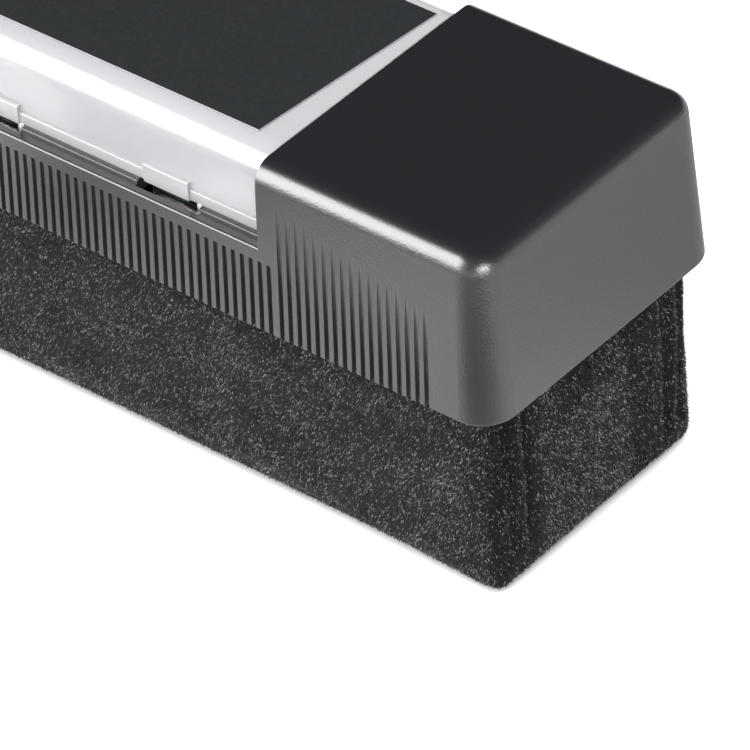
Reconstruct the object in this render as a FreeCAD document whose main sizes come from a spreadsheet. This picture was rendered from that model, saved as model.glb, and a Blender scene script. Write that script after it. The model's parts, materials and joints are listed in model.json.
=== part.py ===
import FreeCAD, Part
import math
import os

import Sketcher

# Board eraser: a velvet-faced pad under a saddle-shaped handle, with a clear cover between
# the handle's two end blocks.  +X is the long way, +Z is up, the origin is under the middle
# of the pad on the surface that it stands on.  Sizes are in millimetres, angles in degrees.

doc = FreeCAD.newDocument("board_eraser")
sheet = doc.addObject("Spreadsheet::Sheet", "size")

SIZES = [
    # handle: outer form
    ("body_length", 140.0, "handle, end to end at its lower edge"),
    ("body_width", 48.0, "handle, across at its lower edge"),
    ("block_height", 25.5, "end block, lower edge to top"),
    ("block_length", 38.0, "end block, along X"),
    ("rail_height", 12.9, "rail between the blocks, lower edge to ledge"),
    ("draft", 3.4, "lean of the outer faces"),
    ("corner_radius", 5.2, "upright corners in plan, at the lower edge"),
    ("top_radius", 3.0, "rounding round the top of a block"),
    ("edge_radius", 0.35, "small rounding on the moulded edges"),
    ("deck_step", 0.5, "deck above the ledge"),
    ("deck_inset", 2.4, "deck edge, in from the handle's lower edge"),
    ("shell_wall", 2.0, "moulded wall of the handle"),
    # handle: finger grooves
    ("groove_pitch", 1.5, "groove to groove"),
    ("groove_width", 0.75, "groove across, with a half-round bottom"),
    ("groove_depth", 1.25, "groove bottom, in from the handle's lower edge"),
    ("groove_fade", 0.35, "how much shallower the last tall groove is than the first"),
    ("groove_land", 2.0, "plain land above the short grooves"),
    ("groove_gap", 1.85, "least room between the short and the tall grooves"),
    ("tall_start", 3.65, "first tall groove from the block's inner face"),
    ("tall_end", 10.3, "least room from the last tall groove to the block's end"),
    # pad
    ("pad_drop", 31.0, "pad showing below the handle"),
    ("pad_side_inset", 2.6, "pad side, in from the handle's lower edge"),
    ("pad_end_inset", 2.5, "pad end, in from the handle's lower edge"),
    ("pad_corner_radius", 4.5, "upright corners of the pad in plan"),
    ("pad_edge_radius", 4.0, "rounded lower edge of the pad"),
    ("velvet_thickness", 1.8, "backing and pile together"),
    ("velvet_hem", 6.0, "velvet turned in over the plate"),
    ("soft_gap", 0.1, "room between soft pieces"),
    ("adhesive_thickness", 0.3, "double-sided sheet on the foam"),
    # plate that carries the pad
    ("plate_thickness", 3.0, "plate that the pad is fixed to"),
    ("plate_rise", 0.7, "underside of the plate above the handle's lower edge"),
    ("boss_radius", 3.5, "screw boss on the plate"),
    ("screw_inset", 6.0, "screws from the block's inner face, along X"),
    ("boss_gap", 2.0, "screw boss to the edge of the velvet's hem"),
    ("screw_radius", 1.45, "screw shank"),
    ("screw_head_radius", 2.7, "countersunk head"),
    ("screw_head_depth", 1.2, "countersunk head, top to shank"),
    ("screw_length", 9.0, "screw, head to tip"),
    ("screw_clearance", 0.1, "room round the shank and the head"),
    # clear cover, its catches and what lies under it
    ("cover_gap", 0.15, "cover to block, each end"),
    ("cover_inset", 3.5, "cover side, in from the handle's lower edge"),
    ("cover_radius", 4.0, "rounding along the cover's long edges"),
    ("cover_wall", 1.5, "wall of the cover"),
    ("foot_height", 1.65, "foot along the cover's lower edge"),
    ("foot_out", 0.33, "foot, out from the cover's side"),
    ("tab_inset", 17.2, "middle of a catch tab from the block's inner face"),
    ("tab_length", 7.7, "catch tab along X"),
    ("tab_rise", 2.8, "catch tab above the deck"),
    ("tab_out", 0.35, "catch tab, out from the foot"),
    ("hook_drop", 2.6, "hook under a catch tab, below the deck"),
    ("hook_thickness", 1.1, "hook across, flush with the cover's side"),
    ("hook_shift", 0.8, "hook and slot outward of the tab, along X"),
    ("slot_length", 11.0, "catch slot along X"),
    ("slot_side_gap", 1.6, "catch slot, outside the hook"),
    ("slot_back_gap", 0.3, "catch slot, inside the hook"),
    ("label_end_margin", 3.0, "label end from the block's inner face, halfway across"),
    ("label_side_margin", 4.1, "label side from the cover's side"),
    ("label_skew", 2.7, "far long side of the label ahead of the near one"),
    ("label_thickness", 0.25, "label sheet"),
    ("tape_thickness", 0.3, "double-sided tape under the tray"),
    ("tape_width", 9.0, "tape strip along X"),
    ("tape_inset", 19.0, "tape strip from the block's inner face, along X"),
    ("tray_gap", 0.35, "tray to cover, all round"),
    ("tray_wall", 1.1, "wall and floor of the tray"),
    # staples that hold the velvet's hem to the plate
    ("staple_crown", 7.0, "staple along its crown"),
    ("staple_wire", 0.6, "staple wire, square"),
    ("staple_leg", 2.4, "staple leg in the plate"),
    ("staple_edge", 2.6, "staple from the edge of the plate"),
    ("staple_pitch", 24.0, "staple to staple, along X"),
]

for row, (alias, number, note) in enumerate(SIZES, start=1):
    sheet.set(f"A{row}", note)
    sheet.set(f"B{row}", str(number))
    sheet.setAlias(f"B{row}", alias)
doc.recompute()

# Levels and half sizes that several pieces share, written once as expressions.
SHARED = {
    "ledge_z": "size.pad_drop + size.rail_height",
    "deck_z": "size.pad_drop + size.rail_height + size.deck_step",
    "top_z": "size.pad_drop + size.block_height",
    "saddle_half": "size.body_length / 2 - size.block_length",
    "deck_half": "size.body_width / 2 - size.deck_inset",
    "cover_half": "size.body_width / 2 - size.cover_inset",
    "pad_length": "size.body_length - 2 * size.pad_end_inset",
    "pad_width": "size.body_width - 2 * size.pad_side_inset",
    "tab_x": "size.body_length / 2 - size.block_length - size.tab_inset",
    "screw_x": "size.body_length / 2 - size.block_length - size.screw_inset",
    "screw_y": "size.body_width / 2 - size.pad_side_inset - size.velvet_thickness"
               " - size.soft_gap - size.velvet_hem - size.boss_gap - size.boss_radius",
    "plate_z": "size.pad_drop + size.plate_rise",
    "plate_top_z": "size.pad_drop + size.plate_rise + size.plate_thickness",
}
EXPR = {name: f"({text})" for name, text in SHARED.items()}
NEAR = 0.1  # an edge this close to a line or a hole belongs to it


def measure(expression):
    """The number that an expression of the sheet's cells gives."""
    return float(sheet.evalExpression(expression))


def size(alias):
    """The number in one cell of the sheet."""
    return float(sheet.get(alias))


def new_body(label):
    """An empty PartDesign body that becomes the piece of that name."""
    body = doc.addObject("PartDesign::Body", label)
    body.Label = label
    return body


def new_sketch(body, name, role, lift=None):
    """A sketch on one of the body's own origin planes, raised by an expression."""
    sketch = body.newObject("Sketcher::SketchObject", name)
    origin = body.Origin.OriginFeatures
    sketch.AttachmentSupport = [(next(f for f in origin if f.Role == role), "")]
    sketch.MapMode = "FlatFace"
    if lift:
        sketch.setExpression("AttachmentOffset.Base.z", lift)
    return sketch


def pin_point(sketch, edge, end, x, y):
    """Holds one end of a sketch edge at a place given by two expressions."""
    for kind, place in (("DistanceX", x), ("DistanceY", y)):
        index = sketch.addConstraint(
            Sketcher.Constraint(kind, -1, 1, edge, end, measure(place)))
        sketch.setExpression(f"Constraints[{index}]", place)


def polygon(sketch, corners):
    """A closed outline whose corners are pairs of expressions."""
    spots = [FreeCAD.Vector(measure(x), measure(y), 0) for x, y in corners]
    first = sketch.GeometryCount
    count = len(corners)
    for i in range(count):
        sketch.addGeometry(Part.LineSegment(spots[i], spots[(i + 1) % count]), False)
    for i in range(count):
        after = first + (i + 1) % count
        sketch.addConstraint(Sketcher.Constraint("Coincident", first + i, 2, after, 1))
    for i, (x, y) in enumerate(corners):
        pin_point(sketch, first + i, 1, x, y)


def rectangle(sketch, x_low, y_low, x_high, y_high):
    """A closed rectangle between two corners given by expressions."""
    polygon(sketch, [(x_low, y_low), (x_high, y_low), (x_high, y_high), (x_low, y_high)])


def rounded_rectangle(sketch, length, width, radius):
    """A rectangle about the sketch's origin with rounded corners, sized by expressions."""
    half_x = measure(length) / 2
    half_y = measure(width) / 2
    r = measure(radius)
    vector = FreeCAD.Vector
    places = [(half_x, half_y), (-half_x, half_y), (-half_x, -half_y), (half_x, -half_y)]
    for i, (x, y) in enumerate(places):
        centre = vector(math.copysign(half_x - r, x), math.copysign(half_y - r, y), 0)
        circle = Part.Circle(centre, vector(0, 0, 1), r)
        start = i * math.pi / 2
        sketch.addGeometry(Part.ArcOfCircle(circle, start, start + math.pi / 2), False)
    for i in range(4):
        ends = [sketch.getPoint(i, 2), sketch.getPoint((i + 1) % 4, 1)]
        sketch.addGeometry(Part.LineSegment(*ends), False)
    for i in range(4):
        sketch.addConstraint(Sketcher.Constraint("Tangent", i, 2, 4 + i, 1))
        sketch.addConstraint(Sketcher.Constraint("Tangent", 4 + i, 2, (i + 1) % 4, 1))
    for i in range(3):
        sketch.addConstraint(Sketcher.Constraint("Equal", i, i + 1))
    for i in (4, 6):
        sketch.addConstraint(Sketcher.Constraint("Horizontal", i))
    for i in (5, 7):
        sketch.addConstraint(Sketcher.Constraint("Vertical", i))
    sketch.addConstraint(Sketcher.Constraint("Symmetric", 4, 1, 6, 1, -1, 1))
    spans = [("DistanceX", (4, 2, 4, 1), f"{length} - 2 * {radius}"),
             ("DistanceY", (6, 1, 4, 2), width)]
    for kind, ends, span in spans:
        index = sketch.addConstraint(Sketcher.Constraint(kind, *ends, measure(span)))
        sketch.setExpression(f"Constraints[{index}]", span)
    index = sketch.addConstraint(Sketcher.Constraint("Radius", 0, r))
    sketch.setExpression(f"Constraints[{index}]", radius)


def circles(sketch, x, y, radius):
    """Four equal circles, at plus and minus x and y, placed by expressions."""
    for sign_x in ("", "-"):
        for sign_y in ("", "-"):
            place = (f"{sign_x}{x}", f"{sign_y}{y}")
            centre = FreeCAD.Vector(measure(place[0]), measure(place[1]), 0)
            circle = Part.Circle(centre, FreeCAD.Vector(0, 0, 1), measure(radius))
            edge = sketch.addGeometry(circle, False)
            pin_point(sketch, edge, 3, *place)
            index = sketch.addConstraint(
                Sketcher.Constraint("Radius", edge, measure(radius)))
            sketch.setExpression(f"Constraints[{index}]", radius)


def extrude(body, kind, name, sketch, length, up=True, midplane=False, taper=None):
    """A Pad or a Pocket of a sketch, its length an expression, along or against the normal."""
    feature = body.newObject(f"PartDesign::{kind}", name)
    feature.Profile = sketch
    if midplane:
        feature.SideType = "Symmetric"
    feature.setExpression("Length", length)
    feature.Reversed = (kind == "Pad") != up
    if taper:
        feature.setExpression("TaperAngle", taper)
    sketch.Visibility = False
    doc.recompute()
    return feature


def edges_where(feature, test):
    """Names of the feature's edges whose middle point and ends pass a test."""
    names = []
    for i, edge in enumerate(feature.Shape.Edges, start=1):
        first, last = edge.ParameterRange
        spots = [edge.valueAt(first + (last - first) * share) for share in (0.02, 0.5, 0.98)]
        if all(test(spot) for spot in spots):
            names.append(f"Edge{i}")
    if not names:
        raise RuntimeError(f"no edge of {feature.Name} passes the test")
    return names


def dress(body, kind, name, base, test, amount):
    """A Fillet or a Chamfer on the edges of the last feature that pass a test."""
    feature = body.newObject(f"PartDesign::{kind}", name)
    feature.Base = (base, edges_where(base, test))
    feature.setExpression("Radius" if kind == "Fillet" else "Size", amount)
    doc.recompute()
    return feature


def close(one, other, reach=0.02):
    """True when two lengths are the same within a small reach."""
    return abs(one - other) < reach


def groove_outline(sketch, x, side):
    """One upright groove in plan: a half-round bottom and two flanks that run out of the face."""
    vector = FreeCAD.Vector
    half = "size.groove_width / 2"
    centre_y = f"{side}(size.body_width / 2 - size.groove_depth + {half})"
    outer_y = f"{side}(size.body_width / 2 + size.groove_width)"
    px, py, out, r = (measure(text) for text in (x, centre_y, outer_y, half))
    start = math.pi if py > 0 else 0
    circle = Part.Circle(vector(px, py, 0), vector(0, 0, 1), r)
    arc = sketch.addGeometry(Part.ArcOfCircle(circle, start, start + math.pi), False)
    ends = [sketch.getPoint(arc, 1), sketch.getPoint(arc, 2)]
    outer = [vector(end.x, out, 0) for end in ends]
    flank = sketch.addGeometry(Part.LineSegment(ends[1], outer[1]), False)
    across = sketch.addGeometry(Part.LineSegment(outer[1], outer[0]), False)
    back = sketch.addGeometry(Part.LineSegment(outer[0], ends[0]), False)
    sketch.addConstraint(Sketcher.Constraint("Tangent", arc, 2, flank, 1))
    sketch.addConstraint(Sketcher.Constraint("Coincident", flank, 2, across, 1))
    sketch.addConstraint(Sketcher.Constraint("Coincident", across, 2, back, 1))
    sketch.addConstraint(Sketcher.Constraint("Tangent", back, 2, arc, 1))
    sketch.addConstraint(Sketcher.Constraint("Horizontal", across))
    sketch.addConstraint(Sketcher.Constraint("Vertical", flank))
    pin_point(sketch, arc, 3, x, centre_y)
    index = sketch.addConstraint(Sketcher.Constraint("Radius", arc, r))
    sketch.setExpression(f"Constraints[{index}]", half)
    index = sketch.addConstraint(Sketcher.Constraint("DistanceY", -1, 1, across, 1, out))
    sketch.setExpression(f"Constraints[{index}]", outer_y)


def groove_row(body, name, first_x, side, count, run, fade, reach):
    """A row of upright grooves in one long face, cut upwards from the handle's lower edge.

    run is the row's length along X and fade how far it drifts out of the face on the way.
    """
    sketch = new_sketch(body, f"{name}_outline", "XY_Plane", "size.pad_drop")
    groove_outline(sketch, first_x, side)
    line = sketch.addGeometry(Part.LineSegment(
        FreeCAD.Vector(0, 0, 0), FreeCAD.Vector(measure(run), measure(fade), 0)), True)
    pin_point(sketch, line, 1, "0", "0")
    pin_point(sketch, line, 2, run, fade)
    pocket = extrude(body, "Pocket", f"{name}_first", sketch, reach, up=True)
    pattern = body.newObject("PartDesign::LinearPattern", name)
    pattern.Originals = [pocket]
    pattern.Direction = (sketch, ["Axis0"])
    pattern.setExpression("Occurrences", count)
    pattern.setExpression("Length", f"sqrt(({run}) ^ 2 + ({fade}) ^ 2)")
    body.Tip = pattern
    doc.recompute()
    return pattern


def make_handle_shell():
    """Moulded handle: end blocks, rail, ledge, deck, grooves, slots and screw holes."""
    body = new_body("handle_shell")
    outline = new_sketch(body, "handle_outline", "XY_Plane", "size.pad_drop")
    rounded_rectangle(outline, "size.body_length", "size.body_width", "size.corner_radius")
    extrude(body, "Pad", "outer_form", outline, "size.block_height", taper="-size.draft")

    saddle = new_sketch(body, "saddle_outline", "XZ_Plane")
    rectangle(saddle, f"-{EXPR['saddle_half']}", EXPR["deck_z"],
              EXPR["saddle_half"], f"{EXPR['top_z']} + 1")
    form = extrude(body, "Pocket", "saddle", saddle, "2 * size.body_width", midplane=True)

    ledge = new_sketch(body, "ledge_outline", "YZ_Plane")
    for sign in (1, -1):
        inner = EXPR["deck_half"] if sign > 0 else f"-{EXPR['deck_half']}"
        outer = "size.body_width" if sign > 0 else "-size.body_width"
        rectangle(ledge, inner, EXPR["ledge_z"], outer, f"{EXPR['deck_z']} + 1")
    form = extrude(body, "Pocket", "ledges", ledge, f"2 * {EXPR['saddle_half']}", midplane=True)

    top = measure(EXPR["top_z"])
    inner_x = measure(EXPR["saddle_half"])
    form = dress(body, "Fillet", "block_rounding", form,
                 lambda p: close(p.z, top) and not close(abs(p.x), inner_x),
                 "size.top_radius")
    ledge_top = measure(EXPR["ledge_z"])
    deck_top = measure(EXPR["deck_z"])
    deck_y = measure(EXPR["deck_half"])
    lower = size("pad_drop")

    form = dress(body, "Fillet", "small_rounding", form,
                 lambda p: close(p.z, ledge_top) and abs(p.y) > deck_y + 3 * NEAR
                 and not close(abs(p.x), inner_x), "size.edge_radius")
    form = dress(body, "Fillet", "deck_rounding", form,
                 lambda p: close(p.z, deck_top) and close(abs(p.y), deck_y)
                 and not close(abs(p.x), inner_x), "size.edge_radius / 2")
    form = dress(body, "Fillet", "foot_rounding", form,
                 lambda p: close(p.z, lower), "size.edge_radius")

    hollow = new_sketch(body, "hollow_outline", "XY_Plane", "size.pad_drop")
    rounded_rectangle(hollow, "(size.body_length - 2 * size.shell_wall)",
                      "(size.body_width - 2 * size.shell_wall)",
                      "(size.corner_radius - size.shell_wall)")
    extrude(body, "Pocket", "rail_hollow", hollow,
            "size.rail_height + size.deck_step - size.shell_wall", taper="-size.draft")
    for name, sign in (("right_block_hollow", ""), ("left_block_hollow", "-")):
        sketch = new_sketch(body, f"{name}_outline", "XY_Plane", "size.pad_drop")
        rectangle(sketch,
                  f"{sign}({EXPR['saddle_half']} + size.shell_wall)",
                  "-(size.body_width / 2 - size.shell_wall)",
                  f"{sign}(size.body_length / 2 - size.shell_wall)",
                  "size.body_width / 2 - size.shell_wall")
        extrude(body, "Pocket", name, sketch, "size.block_height - size.shell_wall",
                taper="-size.draft")

    slots = new_sketch(body, "slot_outline", "XY_Plane", EXPR["deck_z"])
    outer_y = f"({EXPR['cover_half']} + size.slot_side_gap)"
    inner_y = f"({EXPR['cover_half']} - size.hook_thickness - size.slot_back_gap)"
    low_x = f"({EXPR['tab_x']} + size.hook_shift - size.slot_length / 2)"
    high_x = f"({EXPR['tab_x']} + size.hook_shift + size.slot_length / 2)"
    for sx in ("", "-"):
        for sy in ("", "-"):
            rectangle(slots, f"{sx}{low_x}", f"{sy}{inner_y}", f"{sx}{high_x}", f"{sy}{outer_y}")
    extrude(body, "Pocket", "catch_slots", slots, "2 * size.shell_wall", up=False)

    holes = new_sketch(body, "screw_hole_outline", "XY_Plane", EXPR["deck_z"])
    circles(holes, EXPR["screw_x"], EXPR["screw_y"], "(size.screw_radius + size.screw_clearance)")
    form = extrude(body, "Pocket", "screw_holes", holes, "2 * size.shell_wall", up=False)
    reach = size("screw_radius") + size("screw_clearance") + NEAR
    screw_x = measure(EXPR["screw_x"])
    screw_y = measure(EXPR["screw_y"])

    def hole_rim(p):
        away = math.hypot(abs(p.x) - screw_x, abs(p.y) - screw_y)
        return close(p.z, deck_top) and away < reach

    dress(body, "Chamfer", "countersinks", form, hole_rim,
          "size.screw_head_radius - size.screw_radius")

    short_count = (f"(2 * floor(({EXPR['saddle_half']} + size.tall_start - size.groove_gap)"
                   " / size.groove_pitch + 0.5))")
    short_run = f"(({short_count} - 1) * size.groove_pitch)"
    tall_count = ("(floor((size.block_length - size.tall_start - size.tall_end)"
                  " / size.groove_pitch) + 1)")
    tall_run = f"(({tall_count} - 1) * size.groove_pitch)"
    tall_first = f"({EXPR['saddle_half']} + size.tall_start)"
    tall_reach = "size.block_height - size.top_radius - size.groove_land"
    for side_name, side in (("far", ""), ("near", "-")):
        groove_row(body, f"{side_name}_short_row", f"(-{short_run} / 2)", side, short_count,
                   short_run, "0", "size.rail_height - size.groove_land")
        for end_name, end in (("right", ""), ("left", "-")):
            groove_row(body, f"{side_name}_{end_name}_row", f"{end}{tall_first}", side,
                       tall_count, f"{end}{tall_run}", f"{side}size.groove_fade", tall_reach)
    return body


def make_clear_cover():
    """Clear moulded cover: arched section, open underneath, with a foot and four catch tabs."""
    body = new_body("clear_cover")
    side = EXPR["cover_half"]
    foot = f"({side} + size.foot_out)"
    foot_top = f"{EXPR['deck_z']} + size.foot_height"
    section = new_sketch(body, "cover_section", "YZ_Plane")
    polygon(section, [
        (f"-{foot}", EXPR["deck_z"]),
        (foot, EXPR["deck_z"]),
        (foot, foot_top),
        (side, foot_top),
        (side, EXPR["top_z"]),
        (f"-{side}", EXPR["top_z"]),
        (f"-{side}", foot_top),
        (f"-{foot}", foot_top),
    ])
    length = f"(2 * {EXPR['saddle_half']} - 2 * size.cover_gap)"
    form = extrude(body, "Pad", "cover_form", section, length, midplane=True)
    top = measure(EXPR["top_z"])
    half = measure(side)
    end_x = measure(length) / 2
    form = dress(body, "Fillet", "cover_rounding", form,
                 lambda p: close(p.z, top) and close(abs(p.y), half), "size.cover_radius")
    foot_y = measure(foot)
    foot_z = measure(foot_top)
    form = dress(body, "Fillet", "foot_rounding", form,
                 lambda p: close(p.z, foot_z) and close(abs(p.y), foot_y)
                 and not close(abs(p.x), end_x), "size.foot_out / 2")
    form = dress(body, "Fillet", "end_rounding", form,
                 lambda p: close(p.z, top) and close(abs(p.x), end_x), "size.edge_radius")

    tabs = new_sketch(body, "tab_outline", "XY_Plane", f"{EXPR['deck_z']} + size.tab_rise")
    outer_y = f"({foot} + size.tab_out)"
    inner_y = f"({side} - size.cover_wall / 2)"
    hooks = new_sketch(body, "hook_outline", "XY_Plane", f"{EXPR['deck_z']} + size.foot_height")
    hook_y = f"({side} - size.hook_thickness)"
    low_x = f"({EXPR['tab_x']} - size.tab_length / 2)"
    high_x = f"({EXPR['tab_x']} + size.tab_length / 2)"
    shift = "size.hook_shift"
    for sx in ("", "-"):
        for sy in ("", "-"):
            rectangle(tabs, f"{sx}{low_x}", f"{sy}{inner_y}", f"{sx}{high_x}", f"{sy}{outer_y}")
            rectangle(hooks, f"{sx}({low_x} + {shift})", f"{sy}{hook_y}",
                      f"{sx}({high_x} + {shift})", f"{sy}{side}")
    form = extrude(body, "Pad", "catch_tabs", tabs, "size.tab_rise", up=False)
    tab_y = measure(outer_y)
    tab_top = measure(f"{EXPR['deck_z']} + size.tab_rise")
    dress(body, "Fillet", "tab_rounding", form,
          lambda p: close(p.z, tab_top) and close(abs(p.y), tab_y), "size.edge_radius / 2")
    extrude(body, "Pad", "catch_hooks", hooks, "size.foot_height + size.hook_drop", up=False)

    hollow = new_sketch(body, "cover_hollow_outline", "XY_Plane", EXPR["deck_z"])
    rounded_rectangle(hollow, f"({length} - 2 * size.cover_wall)",
                      f"(2 * {side} - 2 * size.cover_wall)",
                      "(size.cover_radius - size.cover_wall)")
    roof = f"{EXPR['top_z']} - size.cover_wall"
    form = extrude(body, "Pocket", "cover_hollow", hollow, f"{roof} - {EXPR['deck_z']}")
    ceiling = measure(roof)
    dress(body, "Fillet", "ceiling_rounding", form,
          lambda p: close(p.z, ceiling), "size.cover_radius - size.cover_wall - 0.1")
    return body


def make_cover_label():
    """Dark sheet stuck on top of the cover, its ends cut at a slant."""
    body = new_body("cover_label")
    outline = new_sketch(body, "label_outline", "XY_Plane", EXPR["top_z"])
    far = f"({EXPR['cover_half']} - size.label_side_margin)"
    end = f"({EXPR['saddle_half']} - size.label_end_margin)"
    shift = "size.label_skew / 2"
    polygon(outline, [
        (f"-{end} - {shift}", f"-{far}"),
        (f"{end} - {shift}", f"-{far}"),
        (f"{end} + {shift}", far),
        (f"-{end} + {shift}", far),
    ])
    extrude(body, "Pad", "label_sheet", outline, "size.label_thickness")
    return body


def tray_plan(shrink):
    """Length and width of the tray's outline, shrunk on every side by an expression."""
    inner_x = f"2 * {EXPR['saddle_half']} - 2 * size.cover_gap - 2 * size.cover_wall"
    inner_y = f"2 * {EXPR['cover_half']} - 2 * size.cover_wall"
    return [f"({inner} - 2 * size.tray_gap - 2 * {shrink})" for inner in (inner_x, inner_y)]


def make_inner_tray():
    """White open tray that lies on the deck under the cover."""
    body = new_body("inner_tray")
    floor = f"({EXPR['deck_z']} + size.tape_thickness)"
    outline = new_sketch(body, "tray_outline", "XY_Plane", floor)
    rounded_rectangle(outline, *tray_plan("0"), "(size.cover_radius - size.cover_wall)")
    rim = f"({EXPR['top_z']} - size.cover_radius)"
    extrude(body, "Pad", "tray_form", outline, f"{rim} - {floor}")
    inside = new_sketch(body, "tray_inside_outline", "XY_Plane", rim)
    rounded_rectangle(inside, *tray_plan("size.tray_wall"),
                      "(size.cover_radius - size.cover_wall - size.tray_wall)")
    extrude(body, "Pocket", "tray_inside", inside, f"{rim} - {floor} - size.tray_wall",
            up=False)
    return body


def make_tray_tape():
    """Two strips of double-sided tape between the tray and the deck."""
    strips = []
    for name, sign in (("right_tape", ""), ("left_tape", "-")):
        strip = doc.addObject("Part::Box", name)
        strip.setExpression("Length", "size.tape_width")
        strip.setExpression("Width", tray_plan("size.tray_wall")[1])
        strip.setExpression("Height", "size.tape_thickness")
        middle = f"{sign}({EXPR['saddle_half']} - size.tape_inset)"
        strip.setExpression("Placement.Base.x", f"{middle} - size.tape_width / 2")
        strip.setExpression("Placement.Base.y", f"-{tray_plan('size.tray_wall')[1]} / 2")
        strip.setExpression("Placement.Base.z", EXPR["deck_z"])
        strips.append(strip)
    tape = doc.addObject("Part::Compound", "tray_tape")
    tape.Links = strips
    tape.Label = "tray_tape"
    doc.recompute()
    return tape


PLATE_PLAN = [f"({EXPR[name]} - 2 * size.velvet_thickness - 2 * size.soft_gap)"
              for name in ("pad_length", "pad_width")]
PLATE_RADIUS = "(size.pad_corner_radius - size.velvet_thickness)"
DECK_UNDERSIDE = f"({EXPR['deck_z']} - size.shell_wall)"


def make_pad_plate():
    """Flat plate that carries the pad, with four screw bosses up to the deck."""
    body = new_body("pad_plate")
    outline = new_sketch(body, "plate_outline", "XY_Plane", EXPR["plate_z"])
    rounded_rectangle(outline, *PLATE_PLAN, PLATE_RADIUS)
    extrude(body, "Pad", "plate_sheet", outline, "size.plate_thickness")
    rings = new_sketch(body, "boss_outline", "XY_Plane", EXPR["plate_top_z"])
    circles(rings, EXPR["screw_x"], EXPR["screw_y"], "size.boss_radius")
    extrude(body, "Pad", "bosses", rings, f"{DECK_UNDERSIDE} - {EXPR['plate_top_z']}")
    holes = new_sketch(body, "boss_hole_outline", "XY_Plane", DECK_UNDERSIDE)
    circles(holes, EXPR["screw_x"], EXPR["screw_y"], "(size.screw_radius + size.screw_clearance)")
    extrude(body, "Pocket", "boss_holes", holes,
            "size.screw_length - size.shell_wall + size.screw_radius", up=False)
    return body


def make_plate_screws():
    """Four countersunk self-tapping screws, driven down through the deck."""
    deck = measure(EXPR["deck_z"])
    head = size("screw_head_radius") - size("screw_clearance")
    shank = size("screw_radius")
    depth = size("screw_head_depth")
    length = size("screw_length")
    slot_depth = depth / 2
    screws = []
    screw_x = measure(EXPR["screw_x"])
    screw_y = measure(EXPR["screw_y"])
    for x in (-screw_x, screw_x):
        for y in (-screw_y, screw_y):
            top = FreeCAD.Vector(x, y, deck)
            down = FreeCAD.Vector(0, 0, -1)
            screw = Part.makeCone(head, shank, depth, top, down)
            point = length - shank
            screw = screw.fuse(Part.makeCylinder(shank, point, top, down))
            tip_start = FreeCAD.Vector(x, y, deck - point)
            screw = screw.fuse(Part.makeCone(shank, shank / 4, shank, tip_start, down))
            for span_x, span_y in ((head, shank / 3), (shank / 3, head)):
                corner = FreeCAD.Vector(x - span_x / 2, y - span_y / 2, deck - slot_depth)
                screw = screw.cut(Part.makeBox(span_x, span_y, 2 * slot_depth, corner))
            screws.append(screw.removeSplitter())
    piece = doc.addObject("Part::Feature", "plate_screws")
    piece.Shape = Part.makeCompound(screws)
    piece.Label = "plate_screws"
    return piece


def make_foam_adhesive():
    """Double-sided sheet between the plate and the foam."""
    body = new_body("foam_adhesive")
    outline = new_sketch(body, "adhesive_outline", "XY_Plane",
                         f"{EXPR['plate_z']} - size.adhesive_thickness")
    rounded_rectangle(outline, *PLATE_PLAN, PLATE_RADIUS)
    extrude(body, "Pad", "adhesive_sheet", outline, "size.adhesive_thickness")
    return body


def make_foam_block():
    """Soft foam block that fills the velvet cover under the plate."""
    body = new_body("foam_block")
    floor = "(size.velvet_thickness + size.soft_gap)"
    outline = new_sketch(body, "foam_outline", "XY_Plane", floor)
    rounded_rectangle(outline, *PLATE_PLAN, PLATE_RADIUS)
    form = extrude(body, "Pad", "foam_form", outline,
                   f"{EXPR['plate_z']} - size.adhesive_thickness - {floor}")
    bottom = measure(floor)
    dress(body, "Fillet", "foam_rounding", form, lambda p: close(p.z, bottom),
          "size.pad_edge_radius - size.velvet_thickness")
    return body


def make_velvet_cover():
    """Velvet bag round the foam, turned in over the plate: a plain solid of its real size."""
    body = new_body("velvet_cover")
    outline = new_sketch(body, "velvet_outline", "XY_Plane")
    rounded_rectangle(outline, EXPR["pad_length"], EXPR["pad_width"], "size.pad_corner_radius")
    form = extrude(body, "Pad", "velvet_form", outline,
                   f"{EXPR['plate_top_z']} + size.soft_gap + size.velvet_thickness")
    dress(body, "Fillet", "velvet_rounding", form, lambda p: close(p.z, 0),
          "size.pad_edge_radius")
    hem_z = f"({EXPR['plate_top_z']} + size.soft_gap)"
    plan = [f"({EXPR[name]} - 2 * size.velvet_thickness)" for name in ("pad_length", "pad_width")]
    inside = new_sketch(body, "velvet_inside_outline", "XY_Plane", hem_z)
    rounded_rectangle(inside, *plan, PLATE_RADIUS)
    form = extrude(body, "Pocket", "velvet_inside", inside, f"{hem_z} - size.velvet_thickness",
                   up=False)
    floor = size("velvet_thickness")
    dress(body, "Fillet", "inside_rounding", form, lambda p: close(p.z, floor),
          "size.pad_edge_radius - size.velvet_thickness")
    opening = new_sketch(body, "hem_opening_outline", "XY_Plane", hem_z)
    rounded_rectangle(opening, f"({plan[0]} - 2 * size.velvet_hem)",
                      f"({plan[1]} - 2 * size.velvet_hem)", PLATE_RADIUS)
    extrude(body, "Pocket", "hem_opening", opening, "2 * size.velvet_thickness")
    return body


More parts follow.
